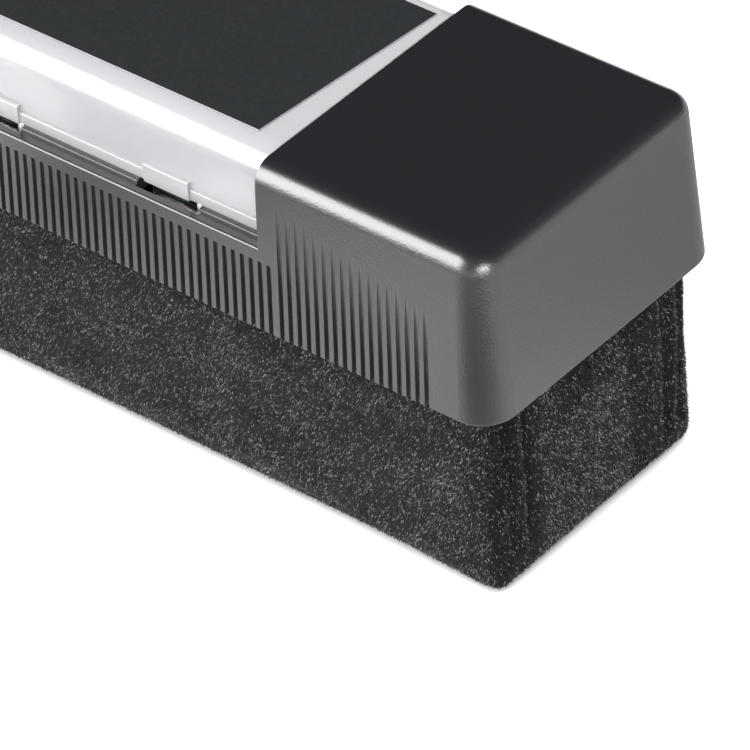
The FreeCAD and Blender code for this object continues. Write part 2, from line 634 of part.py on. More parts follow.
def make_fabric_staples():
    """Staples along both long sides, through the turned-in velvet into the plate."""
    plate_x, plate_y = (measure(text) for text in PLATE_PLAN)
    pitch = size("staple_pitch")
    count = int((plate_x - size("staple_crown")) // pitch) + 1
    wire = size("staple_wire")
    crown = size("staple_crown")
    hem_top = measure(EXPR["plate_top_z"]) + size("soft_gap") + size("velvet_thickness")
    leg = hem_top - measure(EXPR["plate_top_z"]) + size("staple_leg")
    staples = []
    for side in (-1, 1):
        y = side * (plate_y / 2 - size("staple_edge")) - wire / 2
        for i in range(count):
            x = (i - (count - 1) / 2) * pitch - crown / 2
            staple = Part.makeBox(crown, wire, wire, FreeCAD.Vector(x, y, hem_top))
            for leg_x in (x, x + crown - wire):
                corner = FreeCAD.Vector(leg_x, y, hem_top - leg)
                staple = staple.fuse(Part.makeBox(wire, wire, leg, corner))
            staples.append(staple.removeSplitter())
    piece = doc.addObject("Part::Feature", "fabric_staples")
    piece.Shape = Part.makeCompound(staples)
    piece.Label = "fabric_staples"
    return piece


PIECES = [
    make_handle_shell(),
    make_clear_cover(),
    make_cover_label(),
    make_inner_tray(),
    make_tray_tape(),
    make_pad_plate(),
    make_plate_screws(),
    make_foam_adhesive(),
    make_foam_block(),
    make_velvet_cover(),
    make_fabric_staples(),
]
doc.recompute()

failed = [o.Name for o in doc.Objects if {"Invalid", "Error"} & set(o.State)]
if failed:
    raise RuntimeError(f"these objects failed: {failed}")
for piece in PIECES:
    if piece.Shape.isNull() or not piece.Shape.isValid() or not piece.Shape.Solids:
        raise RuntimeError(f"{piece.Label} has no valid solid")

os.makedirs("parts", exist_ok=True)
for piece in PIECES:
    piece.Shape.exportStep(f"parts/{piece.Label}.step")
    print(f"{piece.Label}: {len(piece.Shape.Solids)} solids, {piece.Shape.Volume:.0f} mm3")
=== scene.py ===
"""Board eraser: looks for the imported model, laid out as an add-on and run as a script."""

import json
import math

import bpy
import numpy as np
from mathutils import Matrix, Vector, noise

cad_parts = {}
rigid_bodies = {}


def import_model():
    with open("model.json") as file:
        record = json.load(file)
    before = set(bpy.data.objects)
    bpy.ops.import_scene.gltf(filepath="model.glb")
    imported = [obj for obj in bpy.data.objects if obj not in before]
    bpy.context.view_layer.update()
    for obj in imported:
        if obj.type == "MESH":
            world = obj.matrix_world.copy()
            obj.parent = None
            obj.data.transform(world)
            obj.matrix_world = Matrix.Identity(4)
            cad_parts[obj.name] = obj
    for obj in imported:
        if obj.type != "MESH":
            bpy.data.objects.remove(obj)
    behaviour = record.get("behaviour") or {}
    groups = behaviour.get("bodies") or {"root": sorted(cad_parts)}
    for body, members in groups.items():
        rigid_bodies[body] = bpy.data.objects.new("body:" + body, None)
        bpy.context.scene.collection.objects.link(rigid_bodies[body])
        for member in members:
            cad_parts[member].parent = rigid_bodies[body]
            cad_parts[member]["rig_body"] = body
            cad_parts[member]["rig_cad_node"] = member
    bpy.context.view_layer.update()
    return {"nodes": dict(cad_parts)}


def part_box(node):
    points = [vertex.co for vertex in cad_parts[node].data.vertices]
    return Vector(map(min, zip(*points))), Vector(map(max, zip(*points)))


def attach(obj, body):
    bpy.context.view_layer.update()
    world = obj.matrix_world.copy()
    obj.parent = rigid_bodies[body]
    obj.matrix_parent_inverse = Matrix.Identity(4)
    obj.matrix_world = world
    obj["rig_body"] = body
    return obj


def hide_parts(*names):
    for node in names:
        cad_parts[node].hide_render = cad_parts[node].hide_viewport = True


bl_info = {
    "name": "Board Eraser",
    "version": (1, 0, 0),
    "blender": (4, 5, 0),
    "location": "View3D > Sidebar > Eraser",
    "description": "Builds the handle, cover, label and velvet pad of a board eraser",
    "category": "Object",
}

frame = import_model()
MM = 0.001
HANDLE = "handle"
COVER = "cover"
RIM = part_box("handle_shell")[0].z
PAD_LOW, PAD_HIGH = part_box("velvet_cover")
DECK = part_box("tray_tape")[0].z


# ---------------------------------------------------------------- colours and nodes

def linear(hex_colour):
    """Linear RGBA of an sRGB colour written as six hex digits."""
    parts = [int(hex_colour[i:i + 2], 16) / 255 for i in (0, 2, 4)]
    return tuple(c / 12.92 if c <= 0.04045 else ((c + 0.055) / 1.055) ** 2.4
                 for c in parts) + (1.0,)


def add_node(tree, kind, settings=None, inputs=None, **links):
    """One shader node: its settings, its unlinked values, and links by socket name."""
    node = tree.nodes.new(kind)
    for name, value in (settings or {}).items():
        setattr(node, name, value)
    for name, value in (inputs or {}).items():
        node.inputs[name].default_value = value
    for name, source in links.items():
        tree.links.new(source, node.inputs[name.replace("_", " ")])
    return node


def new_material(name):
    """An empty node material and its node tree."""
    material = bpy.data.materials.new(name)
    material.use_nodes = True
    tree = material.node_tree
    tree.nodes.clear()
    return material, tree


def per_metre(millimetres):
    """The scale that makes a pattern on Object coordinates repeat at this size."""
    return 1 / (millimetres * MM)


def grain(tree, size, detail=2.0, stretch=(1, 1, 1)):
    """Noise of this grain size in millimetres on Object coordinates."""
    place = add_node(tree, "ShaderNodeTexCoord").outputs["Object"]
    if stretch != (1, 1, 1):
        place = add_node(tree, "ShaderNodeMapping", inputs={"Scale": stretch},
                         Vector=place).outputs["Vector"]
    return add_node(tree, "ShaderNodeTexNoise",
                    inputs={"Scale": per_metre(size), "Detail": detail}, Vector=place).outputs["Fac"]


def z_part(tree, output):
    """The Z part of the Normal or the Object coordinates."""
    place = add_node(tree, "ShaderNodeTexCoord").outputs[output]
    return add_node(tree, "ShaderNodeSeparateXYZ", Vector=place).outputs["Z"]


def ramp(tree, value, low, high, to_low, to_high):
    """A value carried from one range to another, held at its ends."""
    return add_node(tree, "ShaderNodeMapRange", {"clamp": True},
                    {"From Min": low, "From Max": high, "To Min": to_low, "To Max": to_high},
                    Value=value).outputs["Result"]


def tint(tree, share, first, second):
    """A colour between two hex colours."""
    first_colour, second_colour, mixed_colour = 6, 7, 2
    node = add_node(tree, "ShaderNodeMix", {"data_type": "RGBA"}, Factor=share)
    node.inputs[first_colour].default_value = linear(first)
    node.inputs[second_colour].default_value = linear(second)
    return node.outputs[mixed_colour]


def bump(tree, height, depth):
    """A bump this many millimetres deep."""
    return add_node(tree, "ShaderNodeBump", inputs={"Strength": 1.0, "Distance": depth * MM},
                    Height=height).outputs["Normal"]


def finish_material(material, tree, values, **links):
    """The shader and output that end every material."""
    shader = add_node(tree, "ShaderNodeBsdfPrincipled", inputs=values, **links)
    add_node(tree, "ShaderNodeOutputMaterial", Surface=shader.outputs["BSDF"])
    return material


# ---------------------------------------------------------------- materials

def moulded_abs(name, face, wall):
    """Black ABS, injection moulded: faces that look up come from a mirror-finished tool and are even,
    upright walls come from a spark-eroded one, so a fine grain scatters light; the colour is painted shade
    and light, darker on faces that look up and lighter on the walls."""
    material, tree = new_material(name)
    polished_and_painted_dark = ramp(tree, z_part(tree, "Normal"), 0.35, 0.85, 0.0, 1.0)
    sparks = grain(tree, 0.30, 3.0)
    depth = add_node(tree, "ShaderNodeMath", {"operation": "MULTIPLY"})
    tree.links.new(sparks, depth.inputs[0])
    tree.links.new(ramp(tree, polished_and_painted_dark, 0, 1, 1.0, 0.1), depth.inputs[1])
    return finish_material(
        material, tree, {"IOR": 1.54},
        # Painted shade and light: the colour is darker where a face looks up and lighter on the walls.
        Base_Color=tint(tree, polished_and_painted_dark, wall, face),
        Roughness=ramp(tree, polished_and_painted_dark, 0, 1, 0.36, 0.25),
        Normal=bump(tree, depth.outputs[0], 0.06))


def clear_styrene(name, colour):
    """Clear polystyrene, moulded: its walls carry a fine haze that looks milky over the white tray,
    and the thin hooks below the deck stay clear, so they look dark in their slots."""
    material, tree = new_material(name)
    haze = grain(tree, 14.0, 2.0)
    edge = 0.1 * MM
    return finish_material(
        material, tree, {"Base Color": linear(colour), "IOR": 1.59, "Specular IOR Level": 0.3},
        Transmission_Weight=ramp(tree, z_part(tree, "Object"), DECK - edge, DECK + edge, 1.0, 0.4),
        Roughness=ramp(tree, haze, 0.3, 0.7, 0.14, 0.2),
        Normal=bump(tree, haze, 0.02))


def white_styrene(name, colour):
    """White polystyrene, moulded: bright and glossy, with a slight ripple from the tool."""
    material, tree = new_material(name)
    ripple = grain(tree, 5.0, 1.0)
    return finish_material(
        material, tree, {"Base Color": linear(colour), "IOR": 1.59},
        Roughness=ramp(tree, ripple, 0.3, 0.7, 0.24, 0.32), Normal=bump(tree, ripple, 0.02))


def label_card(name, face, core):
    """Card with a dark laminated face: satin on top, its grey core shows along the cut edges."""
    material, tree = new_material(name)
    upward = z_part(tree, "Normal")
    fibres = grain(tree, 0.6, 3.0)
    return finish_material(
        material, tree, {"IOR": 1.5},
        Base_Color=tint(tree, ramp(tree, upward, 0.5, 0.9, 0.0, 1.0), core, face),
        Roughness=ramp(tree, fibres, 0.3, 0.7, 0.42, 0.5), Normal=bump(tree, fibres, 0.006))


def tissue_tape(name, colour):
    """Double-sided tissue tape: matt, with soft crossed fibres."""
    material, tree = new_material(name)
    fibres = grain(tree, 0.5, 4.0, (1, 0.2, 1))
    return finish_material(
        material, tree, {"Base Color": linear(colour)},
        Roughness=ramp(tree, fibres, 0.3, 0.7, 0.6, 0.8), Normal=bump(tree, fibres, 0.02))


def zinc_steel(name, colour):
    """Steel with bright zinc plating: a metal whose plating is lightly streaked by the tumbler."""
    material, tree = new_material(name)
    streaks = grain(tree, 0.35, 3.0, (0.3, 1, 1))
    return finish_material(
        material, tree, {"Base Color": linear(colour), "Metallic": 1.0},
        Roughness=ramp(tree, streaks, 0.3, 0.7, 0.22, 0.4), Normal=bump(tree, streaks, 0.004))


def open_cell_foam(name, light, dark):
    """Open-cell polyurethane foam: grey, matt, pitted by cells about half a millimetre across."""
    material, tree = new_material(name)
    place = add_node(tree, "ShaderNodeTexCoord").outputs["Object"]
    cells = add_node(tree, "ShaderNodeTexVoronoi", inputs={"Scale": per_metre(0.6)},
                     Vector=place).outputs["Distance"]
    return finish_material(
        material, tree, {"Roughness": 0.95},
        # Painted shade: the colour is darker in the middle of each cell, where the bump sinks its pit.
        Base_Color=tint(tree, ramp(tree, cells, 0.1, 0.6, 0.0, 1.0), dark, light),
        Normal=bump(tree, cells, 0.25))


def velvet_ground(name, dark, light):
    """Knitted back of a black velvet, seen between the pile: matt, with a soft sheen at grazing angles."""
    material, tree = new_material(name)
    loops = grain(tree, 0.35, 3.0)
    return finish_material(
        material, tree,
        {"Roughness": 0.9, "Sheen Weight": 0.05, "Sheen Roughness": 0.4, "Specular IOR Level": 0.1},
        Base_Color=tint(tree, ramp(tree, loops, 0.35, 0.7, 0.0, 1.0), dark, light),
        Normal=bump(tree, loops, 0.15))


def velvet_pile(name, dark, light):
    """Cut polyester pile: each fibre is a smooth dark rod that glints along its side. Its colour and
    roughness follow an attribute on the fibres that holds random blotches of lay, painted light and shade
    on the ends, and painted glints."""
    material, tree = new_material(name)
    nap = add_node(tree, "ShaderNodeAttribute", {"attribute_name": "nap"}).outputs["Fac"]
    return finish_material(
        material, tree, {"IOR": 1.55, "Specular IOR Level": 0.06},
        Base_Color=tint(tree, nap, dark, light), Roughness=ramp(tree, nap, 0.0, 1.0, 0.6, 0.35))


# ---------------------------------------------------------------- modelling helpers

def alone(piece):
    """Leaves only this piece selected, and makes it the active one."""
    bpy.ops.object.select_all(action="DESELECT")
    piece.select_set(True)
    bpy.context.view_layer.objects.active = piece


def paint(piece, material):
    """Gives a piece one material."""
    piece.data.materials.clear()
    piece.data.materials.append(material)


def merged_copy(node, name):
    """A copy of a node whose loose triangles are merged into one skin, and keep the design's normals."""
    piece = frame["nodes"][node].copy()
    piece.data = piece.data.copy()
    piece.name = name
    piece.parent = None
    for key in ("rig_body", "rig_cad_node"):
        del piece[key]
    bpy.context.scene.collection.objects.link(piece)
    normals = [corner.vector.copy() for corner in piece.data.corner_normals]
    alone(piece)
    bpy.ops.mesh.customdata_custom_splitnormals_clear()
    bpy.ops.object.mode_set(mode="EDIT")
    bpy.ops.mesh.select_all(action="SELECT")
    bpy.ops.mesh.remove_doubles(threshold=0.001 * MM)
    bpy.ops.object.mode_set(mode="OBJECT")
    if len(normals) == len(piece.data.loops):
        bpy.ops.object.shade_smooth()
        piece.data.normals_split_custom_set(normals)
    return piece


def apply_modifier(piece, kind, **settings):
    """Adds one modifier with its settings and applies it."""
    modifier = piece.modifiers.new(kind.lower(), kind)
    for name, value in settings.items():
        setattr(modifier, name, value)
    alone(piece)
    bpy.ops.object.modifier_apply(modifier=modifier.name)


def smooth(piece, degrees):
    """Smooth shading up to this edge angle, with flat faces kept flat."""
    alone(piece)
    bpy.ops.object.shade_smooth_by_angle(angle=math.radians(degrees))
    apply_modifier(piece, "WEIGHTED_NORMAL", keep_sharp=True, weight=100)


def settle(piece, body, slot, *nodes):
    """Puts a finished piece on its body in place of its nodes; the slot it is given is not used."""
    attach(piece, body)
    if nodes:
        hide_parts(*nodes)


def points_of(mesh, what="vertices", field="co", width=3):
    """The coordinates or normals of a mesh as an array."""
    items = getattr(mesh, what)
    values = np.empty(len(items) * width, np.float32)
    items.foreach_get(field, values)
    return values.reshape(-1, width).astype(float)


def bell(offset, width):
    """A smooth bump of height one."""
    return np.exp(-(offset / width) ** 2)


def step(value, low, high):
    """A smooth step from 0 at low to 1 at high."""
    share = np.clip((value - low) / (high - low), 0, 1)
    return share * share * (3 - 2 * share)


def mottle(places, size, seed):
    """Soft blotches of about this size in millimetres, from -1 to 1."""
    shift = Vector((seed * 7.3, seed * 3.1, seed * 5.7))
    return np.array([noise.noise(Vector(p) / (size * MM) + shift) for p in places.tolist()])


# ---------------------------------------------------------------- handle

class HandleSettings(bpy.types.PropertyGroup):
    """Black moulded handle."""

    # These two colours are painted: the faces that look up darker as painted shade, the walls lighter as
    # painted light.
    face: bpy.props.StringProperty(
        name="Polished faces", description="Colour of the faces that look up", default="19191c")
    wall: bpy.props.StringProperty(
        name="Grained walls", description="Colour of the upright walls", default="26262a")


class ERASER_OT_handle(bpy.types.Operator):
    """Joins the moulded handle's skin and gives it its two finishes"""

    bl_idname = "eraser.handle"
    bl_label = "Handle"

    def execute(self, context):
        settings = context.scene.eraser_handle
        piece = merged_copy("handle_shell", "handle_moulding")
        paint(piece, moulded_abs("abs_moulded_satin", settings.face, settings.wall))
        settle(piece, HANDLE, "handle_abs", "handle_shell")
        return {"FINISHED"}


# ---------------------------------------------------------------- cover, label and tray

class CoverSettings(bpy.types.PropertyGroup):
    """Clear cover, its label and the tray under it."""

    clear: bpy.props.StringProperty(
        name="Cover", description="Tint of the clear cover", default="b0b0b3")
    face: bpy.props.StringProperty(
        name="Label", description="Colour of the label's face", default="1b1e20")
    core: bpy.props.StringProperty(
        name="Label core", description="Colour of the label's cut edge", default="8c8e93")
    tray: bpy.props.StringProperty(
        name="Tray", description="Colour of the tray", default="f0f0f2")
    bevel: bpy.props.FloatProperty(
        name="Label bevel", description="Rounding of the label's cut edge",
        default=0.08 * MM, unit="LENGTH")


class ERASER_OT_cover(bpy.types.Operator):
    """Joins the clear cover's skin and gives it its milky finish"""

    bl_idname = "eraser.cover"
    bl_label = "Clear cover"

    def execute(self, context):
        piece = merged_copy("clear_cover", "cover_moulding")
        paint(piece, clear_styrene("polystyrene_clear", context.scene.eraser_cover.clear))
        settle(piece, COVER, "clear_plastic", "clear_cover")
        return {"FINISHED"}


class ERASER_OT_label(bpy.types.Operator):
    """Rounds the label's cut edges and gives it a laminated face"""

    bl_idname = "eraser.label"
    bl_label = "Label"

    def execute(self, context):
        settings = context.scene.eraser_cover
        piece = merged_copy("cover_label", "label_card")
        apply_modifier(piece, "BEVEL", width=settings.bevel, segments=3, limit_method="ANGLE")
        smooth(piece, 35)
        paint(piece, label_card("card_laminated", settings.face, settings.core))
        settle(piece, COVER, "label_film", "cover_label")
        return {"FINISHED"}


class ERASER_OT_tray(bpy.types.Operator):
    """Finishes the white tray and the tape that holds it"""

    bl_idname = "eraser.tray"
    bl_label = "Tray"

    def execute(self, context):
        paint(frame["nodes"]["inner_tray"],
              white_styrene("polystyrene_white", context.scene.eraser_cover.tray))
        paint(frame["nodes"]["tray_tape"], tissue_tape("tissue_tape", "e8e2d2"))
        return {"FINISHED"}


# ---------------------------------------------------------------- parts inside the handle

class ERASER_OT_inner_parts(bpy.types.Operator):
    """Finishes the plate, its screws, the staples and the glue"""

    bl_idname = "eraser.inner_parts"
    bl_label = "Inner parts"

    def execute(self, context):
        steel = zinc_steel("steel_zinc_plated", "b9bcc0")
        finishes = {
            # The plate's colours are painted the same way: faces that look up darker, walls lighter, as
            # painted shade and light.
            "pad_plate": moulded_abs("abs_moulded_plain", "202023", "2b2b2f"),
            "plate_screws": steel,
            "fabric_staples": steel,
            "foam_adhesive": tissue_tape("contact_glue", "b8a36a"),
        }
        for node, material in finishes.items():
            paint(frame["nodes"][node], material)
        return {"FINISHED"}


class ERASER_OT_foam(bpy.types.Operator):
    """Cuts the foam block with slightly uneven, open-celled faces"""

    bl_idname = "eraser.foam"
    bl_label = "Foam block"

    def execute(self, context):
        piece = merged_copy("foam_block", "foam_core")
        apply_modifier(piece, "REMESH", mode="VOXEL", voxel_size=1.5 * MM)
        places = points_of(piece.data)
        normals = points_of(piece.data, "vertices", "normal")
        uneven = 0.12 * MM * mottle(places, 4.0, 3)
        moved = places - normals * np.abs(uneven)[:, None]
        piece.data.vertices.foreach_set("co", moved.astype(np.float32).ravel())
        piece.data.update()
        alone(piece)
        bpy.ops.object.shade_smooth()
        paint(piece, open_cell_foam("foam_polyurethane", "8b8b8e", "5c5c60"))
        settle(piece, HANDLE, "foam", "foam_block")
        return {"FINISHED"}


# ---------------------------------------------------------------- velvet pad

class PadSettings(bpy.types.PropertyGroup):
    """Velvet skin over the foam, and its pile."""

    voxel: bpy.props.FloatProperty(
        name="Cloth grid", description="Size of the simulated cloth's grid",
        default=1.3 * MM, unit="LENGTH")
    start_inset: bpy.props.FloatProperty(
        name="Start inset", description="How far inside its full size the skin starts before it swells",
        default=0.55 * MM, unit="LENGTH")
    swell: bpy.props.FloatProperty(
        name="Swell", description="The furthest that a point may move as the skin swells",
        default=0.6 * MM, unit="LENGTH")
    edge_radius: bpy.props.FloatProperty(
        name="Edge radius", description="Rounding of the pad's edges before it swells",
        default=1.2 * MM, unit="LENGTH")
    hem: bpy.props.FloatProperty(
        name="Hem", description="Width of the cloth turned in over the plate",
        default=6 * MM, unit="LENGTH")
    cloth: bpy.props.FloatProperty(
        name="Cloth", description="Thickness of the velvet under its pile",
        default=0.8 * MM, unit="LENGTH")
    fibre_length: bpy.props.FloatProperty(
        name="Fibre", description="Length of the pile", default=0.48 * MM, unit="LENGTH")
    fibre_width: bpy.props.FloatProperty(
        name="Tuft width", description="Width of a tuft of fibres at its root",
        default=0.19 * MM, unit="LENGTH")
    spacing: bpy.props.FloatProperty(
        name="Tuft spacing", description="Distance between tufts",
        default=0.30 * MM, unit="LENGTH")


def swollen_skin(settings):
    """The velvet's skin: a rounded block, swollen as cloth under pressure against the foam."""
    inset = settings.start_inset
    low = PAD_LOW + Vector((inset, inset, inset))
    high = PAD_HIGH - Vector((inset, inset, 0))
    bpy.ops.object.select_all(action="DESELECT")
    bpy.ops.mesh.primitive_cube_add(size=1, location=(low + high) / 2, scale=high - low)
    skin = bpy.context.object
    skin.name = "velvet_pad"
    bpy.ops.object.transform_apply(location=True, rotation=True, scale=True)
    bpy.ops.object.mode_set(mode="EDIT")
    bpy.ops.mesh.select_all(action="SELECT")
    bpy.ops.mesh.bevel(offset=settings.edge_radius, segments=6, affect="EDGES")
    bpy.ops.object.mode_set(mode="OBJECT")
    apply_modifier(skin, "REMESH", mode="VOXEL", voxel_size=settings.voxel)
    before = points_of(skin.data)
    held = skin.vertex_groups.new(name="held")
    grip = RIM - 1.5 * MM
    held.add([i for i, z in enumerate(before[:, 2]) if z > grip], 1.0, "REPLACE")
    cloth = skin.modifiers.new("cloth", "CLOTH")
    cloth.settings.use_pressure = True
    cloth.settings.uniform_pressure_force = 4
    cloth.settings.effector_weights.gravity = 0
    cloth.settings.vertex_group_mass = "held"
    cloth.settings.quality = 4
    scene = bpy.context.scene
    frames = 20
    for number in range(1, frames + 1):
        scene.frame_set(number)
    alone(skin)
    bpy.ops.object.modifier_apply(modifier="cloth")
    scene.frame_set(1)
    moved = points_of(skin.data) - before
    length = np.linalg.norm(moved, axis=1)
    share = np.minimum(1, settings.swell / np.maximum(length, 1e-9))
    place_points(skin, before + moved * share[:, None])
    return skin


def place_points(piece, places):
    """Moves every vertex of a piece to a new place."""
    piece.data.vertices.foreach_set("co", places.astype(np.float32).ravel())
    piece.data.update()


def sew_corners(skin):
    """Presses the sewn fold beside each end face's corners into the skin, with a gather at its foot.
    The sizes are in millimetres, in from the pad's side and up from its foot."""
    seam_at_rim = 2.9
    seam_spread = 1.8
    crease = 7.0
    fold_height = 0.5
    fold_width = 1.1
    seam_depth = 0.75
    crease_depth = 0.65
    groove_width = 0.6
    gather_height = 0.9
    gather_in = 3.6
    gather_up = 5.4
    places = points_of(skin.data)
    normals = points_of(skin.data, "vertices", "normal")
    from_side = (PAD_HIGH.y - np.abs(places[:, 1])) / MM
    height = places[:, 2] / MM
    seam = seam_at_rim + seam_spread * np.clip(1 - height * MM / RIM, 0, 1)
    fold = (fold_height * bell(from_side - (seam + crease) / 2, fold_width)
            - seam_depth * bell(from_side - seam, groove_width)
            - crease_depth * bell(from_side - crease, groove_width)) * step(height, 3.0, 6.5)
    gather = (gather_height * bell(from_side - gather_in, fold_width)
              * bell(height - gather_up, fold_width))
    ends = step(np.abs(normals[:, 0]), 0.35, 0.9)
    places[:, 0] += np.sign(places[:, 0]) * ends * (fold + gather) * MM
    place_points(skin, places)


def open_top(skin, settings):
    """Cuts the skin open over the plate, leaving the turned-in hem, and gives it the cloth's thickness."""
    edge_x = PAD_HIGH.x - settings.hem
    edge_y = PAD_HIGH.y - settings.hem
    plate = RIM + 3 * MM
    bpy.context.tool_settings.mesh_select_mode = (False, False, True)
    for face in skin.data.polygons:
        centre = face.center
        face.select = centre.z > plate and abs(centre.x) < edge_x and abs(centre.y) < edge_y
    alone(skin)
    bpy.ops.object.mode_set(mode="EDIT")
    bpy.ops.mesh.delete(type="FACE")
    bpy.ops.object.mode_set(mode="OBJECT")
    apply_modifier(skin, "SOLIDIFY", thickness=settings.cloth, offset=-1.0)


def brushed_with_painted_light(places, normals):
    """How light the pile looks, from 0 to 1: random blotches of lay all over; the ends painted darker than
    the sides as painted shade, with a painted pool of light across the middle of each end and a painted
    shadow just under the handle. Sizes are in millimetres."""
    broad = mottle(places, 9.0, 1)
    small = 0.24 * mottle(places, 1.6, 2)
    y = places[:, 1] / MM
    z = places[:, 2] / MM
    # Painted light: a lit pool across the middle of each end.
    painted_light_patch = step(y, -13.5, -10.5) * (1 - step(y, 5.5, 8.0))
    # Painted shadow cast by the handle onto the top of that pool.
    painted_shadow_under_handle = bell(y + 2.5, 4.5) * step(z, 20.0, 24.0)
    side_nap = 0.16 + 0.20 * broad + small
    # Painted shade: the ends start darker than the sides.
    end_nap_and_painted_light = -0.08 + 0.12 * broad + small + (0.30 - 0.35 * painted_shadow_under_handle) * painted_light_patch
    ends = step(np.abs(normals[:, 0]), 0.5, 0.9)
    return side_nap * (1 - ends) + end_nap_and_painted_light * ends


def unit(directions):
    """The same directions with a length of one."""
    return directions / np.maximum(np.linalg.norm(directions, axis=1), 1e-9)[:, None]


def scatter(mesh, chosen, spacing, rng):
    """Random places over the chosen faces, about this far apart, and the skin's normals there."""
    mesh.calc_loop_triangles()
    corners = np.empty(len(mesh.loop_triangles) * 3, np.int32)
    mesh.loop_triangles.foreach_get("vertices", corners)
    corners = corners.reshape(-1, 3)
    places = points_of(mesh)
    normals = points_of(mesh, "vertices", "normal")
    first, second, third = (places[corners[:, i]] for i in range(3))
    cross = np.cross(second - first, third - first)
    area = np.linalg.norm(cross, axis=1) / 2
    facing = cross / np.maximum(2 * area, 1e-12)[:, None]
    area = area * chosen(facing, (first + second + third) / 3)
    count = int(area.sum() / spacing ** 2)
    pick = rng.choice(len(area), count, p=area / area.sum())
    weights = rng.dirichlet((1, 1, 1), count)
    roots = sum(places[corners[pick, i]] * weights[:, i:i + 1] for i in range(3))
    normal = sum(normals[corners[pick, i]] * weights[:, i:i + 1] for i in range(3))
    return roots, unit(normal)


def lie_of(roots, normal, seed, rng):
    """The way each tuft points: down the cloth, with a wander that neighbours share and its own scatter."""
    count = len(roots)
    wander = np.stack([mottle(roots, 3.0, seed + i) for i in (11, 12, 13)], axis=1)
    lay = np.array([0, 0, -1.0]) + 1.3 * wander + rng.normal(0, 0.45, (count, 3))
    lay = unit(lay - normal * (lay * normal).sum(1)[:, None])
    lean = np.radians(rng.uniform(25, 62, count))[:, None]
    return normal * np.cos(lean) + lay * np.sin(lean)


def spike_piece(name, spikes, nap):
    """One piece of closed spikes, each of three root corners and a tip, with the lay of its pile and its
    painted light as an attribute.
    """
    start = np.arange(len(spikes))[:, None, None] * 4
    faces = (start + np.array([[0, 1, 3], [1, 2, 3], [2, 0, 3], [2, 1, 0]])[None]).reshape(-1, 3)
    pile = bpy.data.meshes.new(name)
    pile.vertices.add(len(spikes) * 4)
    pile.vertices.foreach_set("co", spikes.astype(np.float32).ravel())
    pile.loops.add(len(faces) * 3)
    pile.loops.foreach_set("vertex_index", faces.astype(np.int32).ravel())
    pile.polygons.add(len(faces))
    pile.polygons.foreach_set("loop_start", np.arange(len(faces), dtype=np.int32) * 3)
    pile.update(calc_edges=True)
    attribute = pile.attributes.new("nap", "FLOAT", "POINT")
    attribute.data.foreach_set("value", np.repeat(nap, 4).astype(np.float32))
    piece = bpy.data.objects.new(name, pile)
    bpy.context.scene.collection.objects.link(piece)
    return piece


def plant_pile(skin, name, chosen, settings, spacing, seed):
    """Plants tufts over the faces that are chosen: each a thin closed spike that leans down the cloth."""
    root_depth = 0.1 * MM
    floor_gap = 0.03 * MM
    # Painted highlights: this share of tufts has its colour lifted by this much, to glint.
    painted_glint_share = 0.14
    painted_glint_lift = 0.75
    rng = np.random.default_rng(seed)
    roots, normal = scatter(skin.data, chosen, spacing, rng)
    axis = lie_of(roots, normal, seed, rng)
    count = len(roots)
    length = settings.fibre_length * rng.uniform(0.65, 1.15, count)[:, None]
    radius = settings.fibre_width / 2 * rng.uniform(0.7, 1.2, count)[:, None]
    sideways = unit(np.cross(axis, normal))
    across = np.cross(axis, sideways)
    roots = roots - normal * root_depth
    spikes = np.empty((count, 4, 3))
    for i in range(3):
        turn = i * math.tau / 3
        spikes[:, i] = roots + radius * (sideways * math.cos(turn) + across * math.sin(turn))
    spikes[:, 3] = roots + axis * length
    spikes[:, :, 2] = np.maximum(spikes[:, :, 2], floor_gap)
    # The lay of the pile with its painted light and shade, plus random scatter.
    nap = brushed_with_painted_light(roots, normal) + rng.normal(0, 0.16, count)
    # Painted glints: some tufts are made lighter in colour.
    painted_glint = rng.random(count) < painted_glint_share
    nap = np.clip(np.where(painted_glint, nap + painted_glint_lift, nap), 0, 1)
    return spike_piece(name, spikes, nap)


class ERASER_OT_velvet_pad(bpy.types.Operator):
    """Swells the velvet skin as cloth, sews its corners and turns in its hem"""

    bl_idname = "eraser.velvet_pad"
    bl_label = "Velvet pad"

    def execute(self, context):
        settings = context.scene.eraser_pad
        skin = swollen_skin(settings)
        apply_modifier(skin, "SUBSURF", levels=1, render_levels=1)
        sew_corners(skin)
        open_top(skin, settings)
        alone(skin)
        bpy.ops.object.shade_smooth()
        paint(skin, velvet_ground("velvet_knit_ground", "050506", "101012"))
        settle(skin, HANDLE, "velvet", "velvet_cover")
        return {"FINISHED"}


class ERASER_OT_pile(bpy.types.Operator):
    """Plants the velvet's pile on its sides, ends and underside"""

    bl_idname = "eraser.pile"
    bl_label = "Velvet pile"

    def execute(self, context):
        settings = context.scene.eraser_pad
        skin = bpy.data.objects["velvet_pad"]
        rim = RIM - 0.2 * MM
        heart = np.array([0, 0, 15 * MM])
        close = settings.spacing
        steep = 0.6
        fur = velvet_pile("velvet_cut_pile", "040405", "94949c")

        def shows(facing, centre):
            """Outer faces below the handle's edge."""
            outward = (facing * (centre - heart)).sum(1) > 0
            return (centre[:, 2] < rim) & outward

        def end_or_foot(facing):
            """Faces that turn neither to the near side nor to the far one."""
            return np.abs(facing[:, 1]) <= steep

        regions = {
            "pile_near_side": (lambda f, c: shows(f, c) & (f[:, 1] < -steep), close),
            "pile_far_side": (lambda f, c: shows(f, c) & (f[:, 1] > steep), close),
            "pile_ends": (lambda f, c: shows(f, c) & end_or_foot(f) & (f[:, 2] > -steep), close),
            "pile_underside": (lambda f, c: shows(f, c) & end_or_foot(f) & (f[:, 2] <= -steep),
                               close * 1.15),
        }
        for number, (name, (chosen, spacing)) in enumerate(regions.items()):
            piece = plant_pile(skin, name, chosen, settings, spacing, 20 + number)
            paint(piece, fur)
            settle(piece, HANDLE, "velvet")
        return {"FINISHED"}


# ---------------------------------------------------------------- stage

